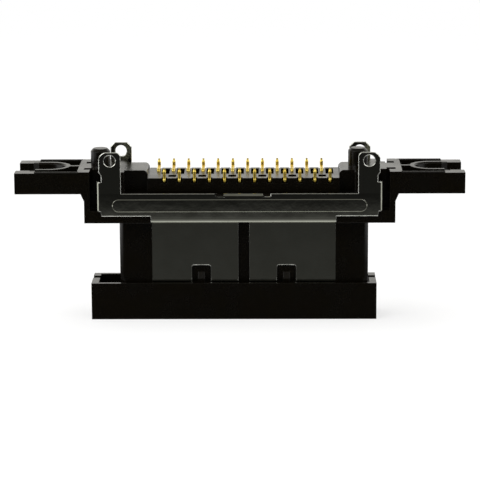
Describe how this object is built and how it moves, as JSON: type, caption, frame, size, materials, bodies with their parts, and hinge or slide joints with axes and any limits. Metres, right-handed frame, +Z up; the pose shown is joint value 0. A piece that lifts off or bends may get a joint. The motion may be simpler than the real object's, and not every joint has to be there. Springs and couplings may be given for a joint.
{
  "type": "rectangular board connector",
  "caption": "Rectangular floating-mount connector: slotted ears, locating pegs, ring-tabbed steel shells, staggered gold tails and a framed mating tongue.",
  "frame": {"origin": "bottom of the frame, middle of the bounding box", "axes": "+X along the ears, +Y from the front shell to the rear shell, +Z up towards the tails"},
  "size_m": [0.0598, 0.0106, 0.0231],
  "materials": {
    "plastic": "black moulded plastic, glossy on its flat tops",
    "steel": "dark plated sheet steel with fine grain",
    "gold": "gold-plated copper alloy"
  },
  "bodies": {
    "root": {"housing": "plastic", "front_shell": "steel", "rear_shell": "steel", "contact_front_01": "gold", "contact_front_02": "gold", "contact_front_03": "gold", "contact_front_04": "gold", "contact_front_05": "gold", "contact_front_06": "gold", "contact_front_07": "gold", "contact_front_08": "gold", "contact_front_09": "gold", "contact_front_10": "gold", "contact_front_11": "gold", "contact_front_12": "gold", "contact_rear_01": "gold", "contact_rear_02": "gold", "contact_rear_03": "gold", "contact_rear_04": "gold", "contact_rear_05": "gold", "contact_rear_06": "gold", "contact_rear_07": "gold", "contact_rear_08": "gold", "contact_rear_09": "gold", "contact_rear_10": "gold", "contact_rear_11": "gold", "contact_rear_12": "gold"}
  },
  "joints": []
}
